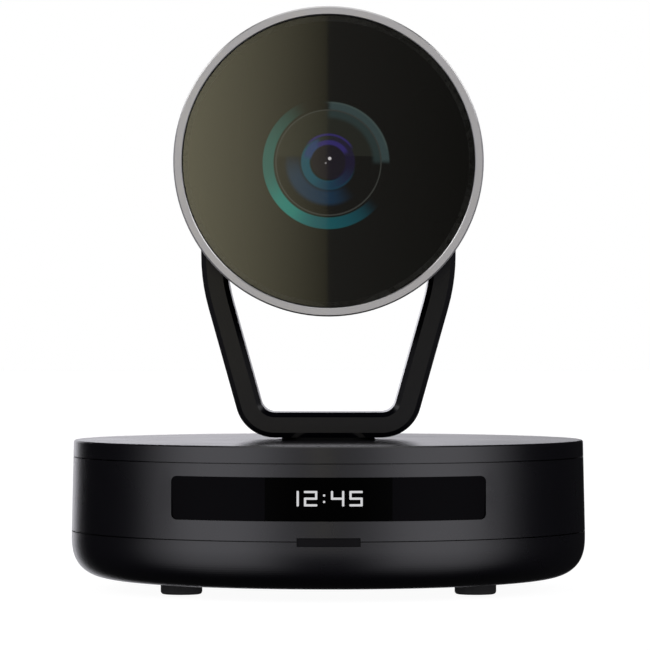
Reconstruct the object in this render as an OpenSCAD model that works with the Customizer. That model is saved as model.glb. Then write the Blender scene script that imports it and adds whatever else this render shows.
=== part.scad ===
// Pan-tilt-zoom conference camera: a round base, a U-shaped yoke that turns on it,
// and a camera head that tilts between the yoke's two arms.
// Millimetres. +Z is up, the lens looks along -Y, and the origin is on the floor
// under the pan axis.

/* [Base] */
// Radius of the base at its top edge
base_top_r = 75.1; // [72:0.1:95]
// How much wider the base is at its lower seam than at its top edge
base_flare = 0.6; // [0:0.1:2]
// Height of the lower shell, from its flat underside to the lower seam
lower_h = 13.8; // [13.4:0.1:18]
// Height of the middle shell, between the two seams
middle_h = 21.7; // [21:0.1:30]
// Height of the top cover
cover_h = 5; // [4.5:0.1:7]
// Wall of the three base shells
base_wall = 2.4; // [1.8:0.1:3]
// Width of the groove that shows at a seam
seam_gap = 0.3; // [0.1:0.05:0.6]
// Width across of the rounded bottom edge
edge_w = 13.6; // [8:0.1:16]

/* [Feet and tripod socket] */
// How far the feet stand out below the base
foot_h = 3.3; // [2:0.1:6]
// Radius of a rubber foot
foot_r = 6; // [4:0.1:8]
// Sideways distance of a foot from the pan axis
foot_x = 42.4; // [30:0.1:46]
// Front-to-back distance of a foot from the pan axis
foot_y = 30; // [20:0.1:32]
// Radius of the tripod socket's bore, a 1/4-20 thread at its minor diameter
tripod_r = 2.55; // [2.5:0.05:4]
// Length of the tripod socket
tripod_l = 8.5; // [6:0.1:9]

/* [Display and remote-control window] */
// Width of the display window, measured straight across
window_w = 88.4; // [60:0.1:100]
// Height of the display window
window_h = 12.1; // [8:0.1:14]
// Height of the window's lower edge above the lower seam
window_rise = 5.9; // [4.5:0.1:7]
// Width of the remote-control window in the lower seam
ir_w = 17.6; // [10:0.1:24]
// Height of the remote-control window
ir_h = 2.2; // [1.6:0.1:3]

/* [Rear connectors] */
// Width of the connector bay
bay_w = 68; // [66:0.5:80]
// Height of the connector bay
bay_h = 15.2; // [14.6:0.1:16]
// Depth of the connector bay at its middle
bay_d = 13; // [10:0.5:14]

/* [Pan drive] */
// Height of the turntable's underside flange above the base's top face
yoke_gap = 0.8; // [0.5:0.1:3]
// Radius of the turntable that carries the yoke
turntable_r = 13.75; // [12:0.05:14.5]
// Radius of the hollow pan shaft
pan_shaft_r = 8.5; // [8:0.1:9]
// Module of both gear pairs
tooth_m = 0.8; // [0.8:0.1:1]
// Teeth on the pan gear
pan_gear_teeth = 72; // [66:1:76]
// Teeth on the pan pinion
pan_pinion_teeth = 16; // [14:1:20]
// Radius of the pan motor's can
pan_motor_r = 17.5; // [12:0.5:18]

/* [Yoke] */
// Thickness of the yoke's bar, seen from the front
bar_t = 7.4; // [6.8:0.1:9]
// Depth of the yoke's bar, front to back
bar_d = 24; // [20:0.5:26]
// Chamfer along the bar's edges
bar_chamfer = 1.45; // [0.8:0.05:1.6]
// Distance from the pan axis to the middle of each arm at its top
arm_x = 33.6; // [33:0.1:40]
// Distance from the pan axis to the corner that the arm and the foot would make
corner_x = 21.7; // [18:0.1:22.5]
// Lean of the arms, outwards from upright
arm_lean = 15.64; // [10:0.01:17]
// Bend radius of the lower corners, on the bar's middle line
corner_bend = 7.9; // [6:0.1:12]
// Bend radius near the top of the arms, on the bar's middle line
top_bend = 53.85; // [30:0.05:60]
// Height of the tilt axis above the base's top face
pivot_rise = 80.6; // [78:0.1:100]

/* [Head] */
// Radius of the bright ring round the front glass
ring_r = 44.4; // [43.5:0.1:48]
// Width of the bright ring, seen from the front
ring_w = 2.4; // [1.5:0.1:4]
// Distance from the tilt axis to the front face
front_d = 42; // [42:0.1:50]
// Distance from the tilt axis to the back of the head
back_d = 40; // [36:0.5:48]
// Wall of the head's shells
head_wall = 2.2; // [1.6:0.1:2.6]
// Thickness of the front glass
glass_t = 2; // [1.5:0.1:3]

/* [Lens] */
// Radius of the lens barrel's nose where it passes the baffle
nose_r = 19.1; // [17.5:0.1:20]
// Radius of the front lens element
lens_r = 15.3; // [13:0.1:16]
// Radius of the zooming lens
zoom_r = 8.1; // [6:0.1:10]

/* [Tilt drive] */
// Radius of the two pivot pins
pivot_r = 5; // [4:0.1:5.5]
// Teeth on the tilt gear
tilt_gear_teeth = 50; // [46:1:52]
// Teeth on the tilt pinion
tilt_pinion_teeth = 12; // [11:1:13]
// Radius of the tilt motor's can
tilt_motor_r = 6.8; // [5:0.1:7]

/* [Fits] */
// Radial clearance of a turning fit
run_fit = 0.05; // [0.02:0.01:0.1]
// Clearance round a piece that drops into a recess
drop_fit = 0.1; // [0.05:0.05:0.2]
// Gap between shells that move past each other
move_gap = 0.6; // [0.4:0.1:1]

/* [Hidden] */
$fn = 64;
eps = 0.01;

// Heights of the base
z_bottom = foot_h;
z_lower = z_bottom + lower_h;
z_upper = z_lower + middle_h;
z_top = z_upper + cover_h;
base_low_r = base_top_r + base_flare;
edge_h = lower_h - 1.7;
edge_n = 2.55;
cavity_r = base_top_r - base_wall;

// Screw bosses of the base
boss_r = 4;
boss_at = cavity_r - 10.7;
boss_angles = [20, 160, 200, 340];
boss_top = z_lower + 10;
cover_boss_at = cavity_r - 6.7;
cover_boss_angles = [45, 135, 225, 315];
cover_tab_z = z_upper - 4.8;
cover_tab_t = 2;
lip_t = 1.4;
lip_h = 2;

// Screws: M3 pan heads and M2.5 for the board
screw_r = 1.5;
screw_head_r = 2.8;
screw_head_h = 2;
pilot_r = 1.5;

// Window
window_z = z_lower + window_rise + window_h / 2;
window_corner = 1.5;
window_t = 1.2;
window_ledge = 2;

// Connector bay, board and sockets
bay_y = base_top_r - bay_d;
bay_z0 = z_lower + 2.3;
bay_z1 = bay_z0 + bay_h;
bay_wall = 2;
panel_t = 1.6;
board_t = 1.6;
board_z = z_lower + 1.5;
board_top = board_z + board_t;
board_y0 = 20;
board_y1 = bay_y - panel_t - 0.4;
board_r = cavity_r - 3.7;
post_r = 3;
posts = [[-44, 25], [44, 25], [-40, board_y1 - 8], [40, board_y1 - 8]];
dc_x = -26;
usb_x = -11;
hdmi_x = 6;
lan_x = 26;
dc_body = [9, 14, 11];
usb_body = [9, 7.5, 3.3];
hdmi_body = [15, 11.5, 6];
lan_body = [16, 21, 13.4];

// Pan stack, from the bottom up
bearing_w = 5;
bearing_r = pan_shaft_r + 4.5;
bearing_pitch = pan_shaft_r + 2.25;
ball_r = 1.3;
ball_count = 12;
frame_z = z_lower + 10;
frame_t = 2;
bearing_z = frame_z - 4.6;
seat_t = 2.6;
seat_lip = 1.4;
pan_gear_z = frame_z + frame_t + 1.3;
pan_gear_t = 4;
pan_hub_h = 3.4;
pan_bore_r = pan_shaft_r - 3;
pan_centre = (pan_gear_teeth + pan_pinion_teeth) * tooth_m / 2;
motor_boss_r = 5;
pan_motor_h = frame_z - z_bottom - base_wall - 2.6;
pan_motor_shaft_r = 2.5;
magnet_at = 18;
turntable_z = z_top - 3.8;
bush_t = 1.5;
yoke_z = z_top + yoke_gap;

// Yoke centre line
bar_mid_z = yoke_z + bar_t / 2;
foot_half = corner_x - corner_bend * tan((90 - arm_lean) / 2);
arm_dir = 90 - arm_lean;
corner_end = [
    foot_half + corner_bend * sin(arm_dir),
    bar_mid_z + corner_bend * (1 - cos(arm_dir))
];
lean_end_x = arm_x - top_bend * (1 - sin(arm_dir));
lean_l = (lean_end_x - corner_end[0]) / cos(arm_dir);
lean_end = corner_end + lean_l * [cos(arm_dir), sin(arm_dir)];
arm_z = lean_end[1] + top_bend * cos(arm_dir);
pivot_z = z_top + pivot_rise;
channel_end = pivot_z - 14;
face_w = bar_t - 2 * bar_chamfer;
cover_w = face_w - 0.8;
yoke_cover_t = 1.4;
channel_w = cover_w - 0.7;
channel_d = bar_d - 8;
arm_in = arm_x - bar_t / 2;
arm_out = arm_x + bar_t / 2;
cap_t = 1.3;
flange_r = pivot_r + 2.2;
cap_r = max(bar_d / 2 - 3.5, flange_r + 1.2);
flange_t = 1.6;

// Head
flat_x = arm_in - move_gap;
glass_r = ring_r - ring_w - drop_fit;
glass_sink = 0.35;
ring_d = 3.5;
flange_d = 2;
shell_r = ring_r - 0.9;
split_y = -4;
baffle_y = -25;
baffle_t = 1.5;
head_seam = 0.2;
head_in_x = flat_x - head_wall;
dome_n = 2.5;
side_a = pivot_z - arm_z;
side_b = pivot_z - lean_end[1];
side_b_x = lean_end_x - bar_t / (2 * sin(arm_dir)) - move_gap;
side_end = ring_r + 20;
side_end_x = side_b_x - (side_end - side_b) / tan(arm_dir);

// Lens
nose_front = -baffle_y + 7;
barrel_back = 14;
barrel_t = 1.6;
barrel_r = nose_r - 1.6;
barrel_in = barrel_r - barrel_t;
lens_dome_r = 27;
zoom_y = -12;
focus_y = 2;
rod_r = 0.8;
rod_at = barrel_in - 1.6;
carriage_r = barrel_in - 0.25;

// Tilt drive
tilt_centre = (tilt_gear_teeth + tilt_pinion_teeth) * tooth_m / 2;
drive_reach = tilt_centre + tooth_m * (tilt_pinion_teeth / 2 + 1) + 0.6;
tilt_gear_t = 2.6;
bush_flange_t = 0.5;
tilt_gear_x = head_in_x - bush_flange_t - 0.25 - tilt_gear_t;
tilt_motor_l = 17;
tilt_shaft_r = 1.5;
clip_t = 0.7;

// ---------------------------------------------------------------- helpers

// Turns a lathe shape drawn up +Z so that its axis is the lens axis and +Z is forwards.
module optic() {
    translate([0, 0, pivot_z]) rotate([90, 0, 0]) children();
}

// Turns a shape drawn up +Z so that it stands along +X on the tilt axis.
module on_tilt_axis() {
    translate([0, 0, pivot_z]) rotate([0, 90, 0]) children();
}

module tube(r, bore, h) {
    difference() {
        cylinder(r = r, h = h);
        translate([0, 0, -1]) cylinder(r = bore, h = h + 2);
    }
}

// A rectangle with true round corners.
module round_rect(w, h, r) {
    square([w - 2 * r, h], center = true);
    square([w, h - 2 * r], center = true);
    for (x = [-1, 1], y = [-1, 1])
        translate([x * (w / 2 - r), y * (h / 2 - r)]) circle(r = r);
}

// A lathe with a chamfered top rim.
module chamfered_disc(r, h, c) {
    rotate_extrude() polygon([[0, 0], [r, 0], [r, h - c], [r - c, h], [0, h]]);
}

module screw(length) {
    translate([0, 0, -length]) cylinder(r = screw_r, h = length);
    difference() {
        chamfered_disc(screw_head_r, screw_head_h, 0.5);
        for (a = [0, 90])
            rotate(a) translate([-1.6, -0.3, screw_head_h - 0.9]) cube([3.2, 0.6, 1]);
    }
}

// One flank of an involute tooth: points from the root side out to the tip.
function flank(teeth, steps = 5) =
    let (
        pitch = teeth * tooth_m / 2,
        base = pitch * cos(20),
        tip = pitch + 0.85 * tooth_m,
        start = max(base, pitch - 1.25 * tooth_m),
        half = 90 / teeth - 0.06 / pitch * 180 / PI + (tan(20) * 180 / PI - 20)
    )
    [for (i = [0 : steps])
        let (
            r = start + (tip - start) * i / steps,
            a = acos(min(1, base / r)),
            inv = tan(a) * 180 / PI - a
        )
        [r, half - inv]];

module gear_outline(teeth) {
    root = teeth * tooth_m / 2 - 1.25 * tooth_m;
    side = flank(teeth);
    tooth = concat(
        [[root, -side[0][1] - 0.3]],
        [for (p = side) [p[0], -p[1]]],
        [for (i = [len(side) - 1 : -1 : 0]) side[i]],
        [[root, side[0][1] + 0.3]]
    );
    polygon([for (k = [0 : teeth - 1], p = tooth)
        let (a = p[1] + 360 * k / teeth) p[0] * [cos(a), sin(a)]]);
}

// ------------------------------------------------------------ base outline

// Outer radius of the base at a height: a straight flare over a softly rounded edge.
function base_r(z) =
    let (
        wall_r = base_low_r - base_flare * max(0, z - z_lower) / (z_top - z_lower),
        dip = min(1, max(0, (z_bottom + edge_h - z) / edge_h))
    )
    wall_r - edge_w * (1 - pow(1 - pow(dip, edge_n), 1 / edge_n));

edge_steps = 26;
edge_heights = [for (i = [0 : edge_steps])
    z_bottom + edge_h * (1 - cos(90 * i / edge_steps))];

// The rounded edge's outline from the flat underside up to the lower seam.
function edge_points(inset) =
    [for (z = edge_heights) [base_r(z) - inset, z + inset * (z_bottom + edge_h - z) / edge_h]];

module base_disc(z0, z1) {
    rotate_extrude() polygon([[0, z0], [base_r(z0), z0], [base_r(z1), z1], [0, z1]]);
}

module base_ring(z0, z1, t) {
    rotate_extrude() polygon([
        [base_r(z0) - t, z0], [base_r(z0), z0], [base_r(z1), z1], [base_r(z1) - t, z1]
    ]);
}

module at_bosses() {
    for (a = boss_angles) translate(boss_at * [cos(a), sin(a), 0]) children();
}

module at_cover_bosses() {
    for (a = cover_boss_angles) translate(cover_boss_at * [cos(a), sin(a), 0]) children();
}

// A radial bar from one distance to another at an angle, drawn without turning it.
module spoke(a, from, to, width, z0, z1) {
    out = [cos(a), sin(a)];
    side = [-sin(a), cos(a)] * width / 2;
    translate([0, 0, z0]) linear_extrude(z1 - z0) polygon([
        from * out - side, to * out - side, to * out + side, from * out + side
    ]);
}

module at_posts() {
    for (p = posts) translate([p[0], p[1], 0]) children();
}

// The prism that the display window is cut with, grown by a margin.
module window_prism(margin) {
    translate([0, 0, window_z]) rotate([90, 0, 0])
        linear_extrude(base_low_r + 5)
            round_rect(window_w + 2 * margin, window_h + 2 * margin, max(0.5, window_corner + margin));
}

module ir_prism(margin) {
    translate([-ir_w / 2 - margin, -base_low_r - 2, z_lower - ir_h / 2 - margin])
        cube([ir_w + 2 * margin, 12, ir_h + 2 * margin]);
}

// ------------------------------------------------------------ base shells

module base_lower_shell() {
    lip_r = cavity_r - drop_fit;
    floor_z = z_bottom + base_wall;
    color("#1b1b1e") difference() {
        union() {
            rotate_extrude() polygon(concat(
                [[0, z_bottom]],
                edge_points(0),
                [[base_low_r, z_lower], [lip_r, z_lower], [lip_r, z_lower + lip_h],
                 [lip_r - lip_t, z_lower + lip_h]],
                [for (i = [edge_steps : -1 : 0])
                    let (p = edge_points(base_wall)[i]) [p[0] - lip_t, p[1]]],
                [[0, floor_z]]
            ));
            at_bosses() translate([0, 0, z_bottom + 1]) cylinder(r = boss_r, h = z_lower - z_bottom - 1);
            at_posts() translate([0, 0, floor_z - 1]) cylinder(r = post_r, h = board_z - floor_z + 1);
            translate([0, 0, floor_z - 1]) cylinder(r = 7.5, h = tripod_l + 1.2);
        }
        at_bosses() {
            translate([0, 0, z_bottom - 1]) cylinder(r = screw_head_r + 0.5, h = 8);
            translate([0, 0, z_bottom]) cylinder(r = screw_r + 0.2, h = 30);
        }
        at_posts() translate([0, 0, board_z - 8]) cylinder(r = pilot_r, h = 10);
        for (x = [-1, 1], y = [-1, 1])
            translate([x * foot_x, y * foot_y, z_bottom - 1]) cylinder(r = foot_r + drop_fit, h = 1.8);
        translate([0, 0, z_bottom - 1]) cylinder(r = 5, h = tripod_l + 1);
        translate([-bay_w / 2 - bay_wall - 0.3, bay_y - 2, z_lower])
            cube([bay_w + 2 * bay_wall + 0.6, 40, lip_h + 1]);
        ir_prism(drop_fit);
    }
}

module base_middle_shell() {
    z0 = z_lower + seam_gap;
    color("#1d1d20") difference() {
        union() {
            base_ring(z0, z_upper, base_wall);
            at_bosses() translate([0, 0, z_lower]) cylinder(r = boss_r, h = boss_top - z_lower);
            for (a = boss_angles)
                spoke(a, boss_at, cavity_r + 1, 2, z_lower + lip_h + 0.5, boss_top);
            at_cover_bosses() translate([0, 0, cover_tab_z]) cylinder(r = boss_r, h = cover_tab_t);
            for (a = cover_boss_angles)
                spoke(a, cover_boss_at, cavity_r + 0.5, 1.8 * boss_r,
                    cover_tab_z, cover_tab_z + cover_tab_t);
            intersection() {
                base_disc(z0, z_upper);
                translate([-bay_w / 2 - bay_wall, bay_y, z0])
                    cube([bay_w + 2 * bay_wall, 40, bay_z1 + bay_wall - z0]);
            }
        }
        translate([-bay_w / 2, bay_y - 1, bay_z0]) cube([bay_w, 60, bay_h]);
        at_bosses() translate([0, 0, z_lower - 1]) cylinder(r = pilot_r, h = 40);
        at_cover_bosses() translate([0, 0, cover_tab_z - 1]) cylinder(r = screw_r + 0.2, h = 5);
        difference() {
            window_prism(drop_fit);
            cylinder(r = base_top_r - window_t - drop_fit, h = 2 * z_top);
        }
        window_prism(-window_ledge);
        ir_prism(drop_fit);
    }
}

module base_top_cover() {
    z0 = z_upper + seam_gap;
    plate = base_wall + 0.2;
    r_in = cavity_r - drop_fit;
    bore = turntable_r + run_fit + bush_t;
    edge = 0.4;
    color("#202023") difference() {
        union() {
            rotate_extrude() polygon([
                [bore, z_top - plate], [r_in - lip_t, z_top - plate],
                [r_in - lip_t, z_upper - lip_h], [r_in, z_upper - lip_h], [r_in, z0],
                [base_r(z0), z0], [base_r(z_top), z_top - edge],
                [base_r(z_top) - edge, z_top], [bore, z_top]
            ]);
            at_cover_bosses() translate([0, 0, cover_tab_z + cover_tab_t])
                cylinder(r = boss_r, h = z_top - plate - cover_tab_z - cover_tab_t + 0.5);
        }
        at_cover_bosses() translate([0, 0, cover_tab_z])
            cylinder(r = pilot_r, h = z_top - 1.2 - cover_tab_z);
    }
}

module display_window() {
    color("#060606") intersection() {
        window_prism(0);
        translate([0, 0, z_lower]) tube(base_top_r + 0.05, base_top_r - window_t, middle_h);
    }
}

module oled_panel() {
    back_y = -base_top_r + 10;
    w = window_w * 0.42;
    color("#020202") translate([-w / 2, back_y - 4.6, window_z - window_h / 2 + 0.4])
        cube([w, 4.6, window_h - 0.8]);
}

module display_board() {
    color("#0d3b24") translate([-26, -base_top_r + 10, z_lower - 3])
        cube([52, board_t, middle_h + 1]);
}

module ir_window() {
    color("#08080a") intersection() {
        ir_prism(0);
        translate([0, 0, z_bottom]) tube(base_low_r - 0.2, base_low_r - 4, z_top - z_bottom);
    }
}

module ir_receiver() {
    color("#141414") translate([0, -base_top_r + 10, z_lower]) {
        translate([-3, -3, -2.5]) cube([6, 3, 5]);
        rotate([90, 0, 0]) translate([0, 0, 3 - eps]) cylinder(r = 1.4, h = 1.2);
    }
}

module io_panel() {
    h = bay_h + 2 * bay_wall - 0.4;
    lift = 0.25;
    color("#26262a") difference() {
        translate([-bay_w / 2 - bay_wall, bay_y - panel_t, bay_z0 - bay_wall + 0.2])
            cube([bay_w + 2 * bay_wall, panel_t, h]);
        translate([0, bay_y - panel_t - 1, board_top]) {
            translate([dc_x, 0, dc_body[2] / 2]) rotate([-90, 0, 0]) cylinder(r = 4.2, h = 4);
            socket_cut(usb_x, usb_body, lift);
            socket_cut(hdmi_x, hdmi_body, lift);
            socket_cut(lan_x, lan_body, lift);
        }
        translate([-60, bay_y - panel_t - 1, board_z - 4]) cube([120, 0.6 + 1, board_t + 4]);
    }
}

module socket_cut(x, body, margin) {
    translate([x - body[0] / 2 - margin, 0, -margin])
        cube([body[0] + 2 * margin, panel_t + 2, body[2] + 2 * margin]);
}

// ------------------------------------------------- feet, socket and boards

module foot(x, y) {
    round = 0.9;
    color("#0c0c0d") translate([x, y, 0]) rotate_extrude() union() {
        square([foot_r - round, foot_h + 0.8]);
        translate([0, round]) square([foot_r, foot_h + 0.8 - round]);
        translate([foot_r - round, round]) circle(r = round);
    }
}

module tripod_insert() {
    color("#c9a24b") translate([0, 0, z_bottom]) difference() {
        union() {
            cylinder(r = 5, h = tripod_l / 2 - 0.5);
            cylinder(r = 4.6, h = tripod_l);
            translate([0, 0, tripod_l / 2 + 0.5]) cylinder(r = 5, h = tripod_l / 2 - 0.5);
        }
        translate([0, 0, -1]) cylinder(r = tripod_r, h = tripod_l + 2);
    }
}

module main_board() {
    color("#0d3b24") difference() {
        intersection() {
            translate([0, 0, board_z]) cylinder(r = board_r, h = board_t);
            translate([-50, board_y0, board_z]) cube([100, board_y1 - board_y0, board_t]);
        }
        at_posts() translate([0, 0, board_z - 1]) cylinder(r = screw_r + 0.2, h = 4);
        at_bosses() translate([0, 0, board_z - 1]) cylinder(r = boss_r + 1, h = 4);
    }
}

module heatsink() {
    fin = 1;
    w = 24;
    color("#8d9094") translate([-w / 2 - 6, board_y0 + 4, board_top]) {
        cube([w, 14, 1.5]);
        for (i = [0 : 7]) translate([i * (w - fin) / 7, 0, 1]) cube([fin, 14, 4]);
    }
}

// A socket's metal body, mouth towards +Y, with its inside cut and its tongue left.
module socket_body(x, body) {
    translate([x - body[0] / 2, bay_y - body[1], board_top]) cube(body);
}

module dc_jack() {
    color("#101010") difference() {
        union() {
            translate([dc_x - dc_body[0] / 2, bay_y - panel_t - dc_body[1], board_top])
                cube(dc_body);
            translate([dc_x, bay_y - panel_t - 1, board_top + dc_body[2] / 2])
                rotate([-90, 0, 0]) cylinder(r = 4, h = panel_t + 1);
        }
        translate([dc_x, bay_y - 9, board_top + dc_body[2] / 2])
            rotate([-90, 0, 0]) cylinder(r = 2.85, h = 12);
    }
    color("#b9bcc0") translate([dc_x, bay_y - 9 - eps, board_top + dc_body[2] / 2])
        rotate([-90, 0, 0]) cylinder(r = 1, h = 8);
}

module usb_socket() {
    deep = 6;
    color("#b9bcc0") difference() {
        socket_body(usb_x, usb_body);
        translate([usb_x, bay_y - deep, board_top + usb_body[2] / 2]) rotate([-90, 0, 0])
            linear_extrude(deep + 1) round_rect(8.3, 2.6, 1.2);
    }
    color("#101010") translate([usb_x - 3.3, bay_y - deep - eps, board_top + usb_body[2] / 2 - 0.35])
        cube([6.6, deep - 1, 0.7]);
}

module hdmi_socket() {
    deep = 9;
    color("#b9bcc0") difference() {
        socket_body(hdmi_x, hdmi_body);
        translate([hdmi_x, bay_y - deep, board_top + hdmi_body[2] / 2]) rotate([-90, 0, 0])
            linear_extrude(deep + 1) polygon([
                [-7, -2.3], [7, -2.3], [7, 0.6], [5.4, 2.3], [-5.4, 2.3], [-7, 0.6]
            ]);
    }
    color("#101010") translate([hdmi_x - 5, bay_y - deep - eps, board_top + hdmi_body[2] / 2 - 0.2])
        cube([10, deep - 1.5, 0.9]);
}

module lan_socket() {
    deep = 14;
    color("#b9bcc0") difference() {
        socket_body(lan_x, lan_body);
        translate([lan_x - 5.9, bay_y - deep, board_top + 2.6]) cube([11.8, deep + 1, 7]);
        translate([lan_x - 3, bay_y - deep, board_top + 1.2]) cube([6, deep + 1, 2]);
    }
}

// ---------------------------------------------------------------- screws

module base_screws() {
    color("#2c2c2f") at_bosses() translate([0, 0, z_bottom + 7]) rotate([180, 0, 0])
        screw(12);
}

module frame_screws() {
    color("#b4b6b9") at_bosses() translate([0, 0, frame_z + frame_t]) screw(frame_t + 4);
}

module cover_screws() {
    color("#b4b6b9") at_cover_bosses() translate([0, 0, cover_tab_z]) rotate([180, 0, 0])
        screw(cover_tab_t + 3.5);
}

module board_screws() {
    color("#b4b6b9") at_posts() translate([0, 0, board_top]) screw(board_t + 5);
}

// -------------------------------------------------------------- pan drive

module pan_frame() {
    color("#7f8286") difference() {
        union() {
            translate([0, 0, frame_z]) cylinder(r = 24, h = frame_t);
            translate([-pan_centre, 0, frame_z]) cylinder(r = pan_motor_r + 2, h = frame_t);
            for (a = boss_angles) spoke(a, 5, boss_at, 8, frame_z, frame_z + frame_t);
            at_bosses() translate([0, 0, frame_z]) cylinder(r = 5.5, h = frame_t);
            translate([0, 0, bearing_z - seat_lip])
                cylinder(r = bearing_r + seat_t, h = frame_z - bearing_z + seat_lip + 1);
        }
        translate([0, 0, bearing_z]) cylinder(r = bearing_r, h = 20);
        cylinder(r = bearing_r - 1.5, h = z_top);
        translate([-pan_centre, 0, frame_z - 1]) cylinder(r = motor_boss_r + drop_fit, h = 5);
        at_bosses() translate([0, 0, frame_z - 1]) cylinder(r = screw_r + 0.2, h = 5);
        for (a = [60, 120, 240, 300])
            translate([20 * cos(a), 20 * sin(a), frame_z - 1]) cylinder(r = 2.2, h = 5);
    }
}

module pan_motor() {
    color("#a9acb0") translate([-pan_centre, 0, frame_z - pan_motor_h]) difference() {
        union() {
            cylinder(r = pan_motor_r, h = pan_motor_h - 0.8);
            translate([0, 0, pan_motor_h - 0.8 - eps]) cylinder(r = pan_motor_r - 1, h = 0.8 + eps);
            cylinder(r = motor_boss_r, h = pan_motor_h + 1.6);
            translate([-4, -pan_motor_r - 2, 4]) cube([8, 5, 7]);
        }
        translate([0, 0, 2]) cylinder(r = pan_motor_shaft_r + run_fit, h = 40);
    }
}

module pan_motor_shaft() {
    color("#d5d7da") translate([-pan_centre, 0, frame_z - pan_motor_h + 2.3])
        cylinder(r = pan_motor_shaft_r, h = pan_gear_z + pan_gear_t + 0.8 - frame_z + pan_motor_h - 2.3);
}

module pan_pinion() {
    color("#c9a24b") translate([-pan_centre, 0, pan_gear_z]) difference() {
        linear_extrude(pan_gear_t) rotate(180 / pan_pinion_teeth) gear_outline(pan_pinion_teeth);
        translate([0, 0, -1]) cylinder(r = pan_motor_shaft_r, h = pan_gear_t + 2);
    }
}

module race_groove() {
    rotate_extrude() translate([bearing_pitch, bearing_w / 2]) circle(r = ball_r + run_fit);
}

module pan_bearing_outer() {
    color("#d5d7da") translate([0, 0, bearing_z]) difference() {
        tube(bearing_r, bearing_pitch + 0.55, bearing_w);
        race_groove();
    }
}

module pan_bearing_inner() {
    color("#d5d7da") translate([0, 0, bearing_z]) difference() {
        tube(bearing_pitch - 0.55, pan_shaft_r, bearing_w);
        race_groove();
    }
}

module pan_bearing_balls() {
    color("#b9bcc0") translate([0, 0, bearing_z + bearing_w / 2]) {
        translate([0, 0, -0.8]) tube(bearing_pitch + 0.3, bearing_pitch - 0.3, 1.6);
        for (k = [0 : ball_count - 1])
            rotate(k * 360 / ball_count) translate([bearing_pitch, 0, 0]) sphere(r = ball_r);
    }
}

module pan_retainer() {
    color("#3a3a3d") translate([0, 0, bearing_z - 1.1]) difference() {
        cylinder(r = pan_shaft_r + 1.6, h = 1.1);
        translate([0, 0, -1]) cylinder(r = pan_shaft_r, h = 4);
        translate([0, -1.2, -1]) cube([20, 2.4, 4]);
    }
}

module pan_shaft() {
    foot = bearing_z - 2;
    collar = bearing_z + bearing_w;
    color("#c4c6c9") difference() {
        union() {
            translate([0, 0, foot]) cylinder(r = pan_shaft_r, h = turntable_z + 2 - foot);
            translate([0, 0, collar]) cylinder(r = pan_shaft_r + 1.3, h = pan_gear_z - collar);
        }
        translate([0, 0, foot - 1]) cylinder(r = pan_bore_r, h = 60);
    }
}

module pan_gear() {
    hub = pan_shaft_r + 5;
    color("#e4e1d6") translate([0, 0, pan_gear_z]) difference() {
        union() {
            linear_extrude(pan_gear_t) rotate(180) gear_outline(pan_gear_teeth);
            cylinder(r = hub, h = pan_gear_t + pan_hub_h);
        }
        translate([0, 0, -1]) cylinder(r = pan_shaft_r, h = 20);
        for (k = [0 : 5]) rotate(30 + 60 * k) translate([20.5, 0, -1]) cylinder(r = 4, h = 10);
    }
    color("#2a2a2c") translate([magnet_at + 3.5, 0, pan_gear_z - 0.3])
        cylinder(r = 1.5, h = 0.4);
}

module pan_home_sensor() {
    color("#101010") translate([magnet_at + 1.5, -2, frame_z + frame_t])
        cube([4, 4, 0.6]);
}

module pan_bush() {
    color("#d9d6cb") translate([0, 0, z_top - base_wall - 0.2])
        tube(turntable_r + run_fit + bush_t, turntable_r + run_fit, base_wall + 0.1);
}

module turntable() {
    color("#141416") difference() {
        translate([0, 0, turntable_z]) cylinder(r = turntable_r, h = yoke_z - turntable_z);
        translate([0, 0, turntable_z - 1]) cylinder(r = pan_shaft_r, h = 3);
        cylinder(r = pan_bore_r, h = 2 * z_top);
    }
}

// ------------------------------------------------------------------- yoke

// The right half of the yoke's middle line as [x, z, heading], up to the height z_end.
corner_steps = 14;
top_steps = 5;
corner_c = [foot_half, bar_mid_z + corner_bend];
top_c = [arm_x - top_bend, arm_z];

function bend(centre, r, from, to, steps) =
    [for (i = [0 : steps])
        let (a = from + (to - from) * i / steps)
        [centre[0] + r * sin(a), centre[1] - r * cos(a), a]];

function half_line(z_end) = concat(
    bend(corner_c, corner_bend, 0, arm_dir, corner_steps),
    bend(top_c, top_bend, arm_dir, 90, top_steps),
    [[arm_x, z_end, 90]]
);

function mirrored(line) =
    [for (i = [len(line) - 1 : -1 : 0]) [-line[i][0], line[i][1], -line[i][2]]];

function whole_line(z_end) = concat(mirrored(half_line(z_end)), half_line(z_end));

// Sweeps an outline along a line. The outline's x is outwards from the bend and its y
// is depth; it is given anticlockwise, and caps lists the convex parts of its ends.
module sweep(line, outline, caps) {
    n = len(outline);
    m = len(line);
    points = [for (s = line, q = outline)
        [s[0] + q[0] * sin(s[2]), q[1], s[1] - q[0] * cos(s[2])]];
    sides = [for (j = [0 : m - 2], i = [0 : n - 1])
        let (k = (i + 1) % n)
        [j * n + i, (j + 1) * n + i, (j + 1) * n + k, j * n + k]];
    ends = concat(caps, [for (c = caps)
        [for (i = [len(c) - 1 : -1 : 0]) (m - 1) * n + c[i]]]);
    polyhedron(points = points, faces = concat(sides, ends));
}

function rectangle(x0, x1, y0, y1) = [[x0, y0], [x1, y0], [x1, y1], [x0, y1]];
one_cap = [[0, 1, 2, 3]];

function bar_outline() =
    let (t = bar_t / 2, d = bar_d / 2, c = bar_chamfer)
    [[-t + c, -d], [t - c, -d], [t, -d + c], [t, d - c],
     [t - c, d], [-t + c, d], [-t, d - c], [-t, -d + c]];

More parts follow.
